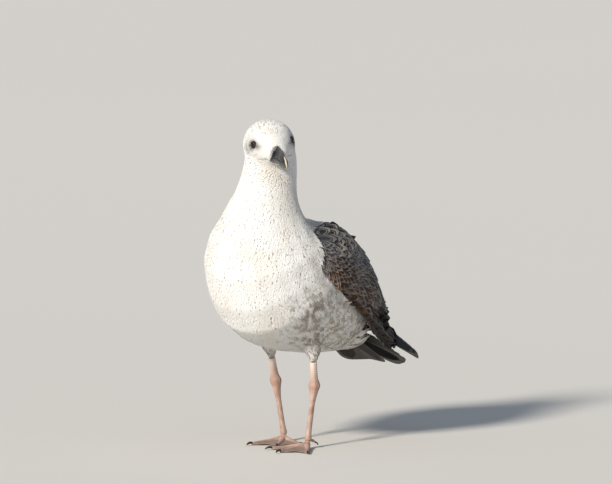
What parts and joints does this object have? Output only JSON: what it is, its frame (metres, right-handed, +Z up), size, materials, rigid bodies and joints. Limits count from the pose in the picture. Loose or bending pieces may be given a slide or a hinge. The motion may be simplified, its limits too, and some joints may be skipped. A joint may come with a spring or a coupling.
{
  "type": "seagull model",
  "caption": "Life-size still model of a young seagull standing on webbed feet, head turned to its left, wings folded over a short dark tail",
  "frame": {"origin": "on the ground, under the middle of the bird's bounding box", "axes": "+Z is up, +X is towards the bird's left, and the body faces -Y"},
  "size_m": [0.175, 0.351, 0.3789],
  "materials": {
    "white_plumage": "matt",
    "mottled_plumage": "matt",
    "dark_plumage": "matt",
    "pink_skin": "satin",
    "bill_horn": "satin",
    "claw_horn": "satin",
    "eye": "gloss"
  },
  "bodies": {
    "root": {"bill_lower": "bill_horn", "bill_upper": "bill_horn", "claw_left_hind": "claw_horn", "claw_left_inner": "claw_horn", "claw_left_middle": "claw_horn", "claw_left_outer": "claw_horn", "claw_right_hind": "claw_horn", "claw_right_inner": "claw_horn", "claw_right_middle": "claw_horn", "claw_right_outer": "claw_horn", "eye_left": "eye", "eye_right": "eye", "foot_left": "pink_skin", "foot_right": "pink_skin", "head": "white_plumage", "neck": "white_plumage", "primaries_left": "dark_plumage", "primaries_right": "dark_plumage", "shank_left": "pink_skin", "shank_right": "pink_skin", "tail": "dark_plumage", "tarsus_left": "pink_skin", "tarsus_right": "pink_skin", "thigh_left": "white_plumage", "thigh_right": "white_plumage", "trunk": "white_plumage", "wing_left": "mottled_plumage", "wing_right": "mottled_plumage"}
  },
  "joints": []
}
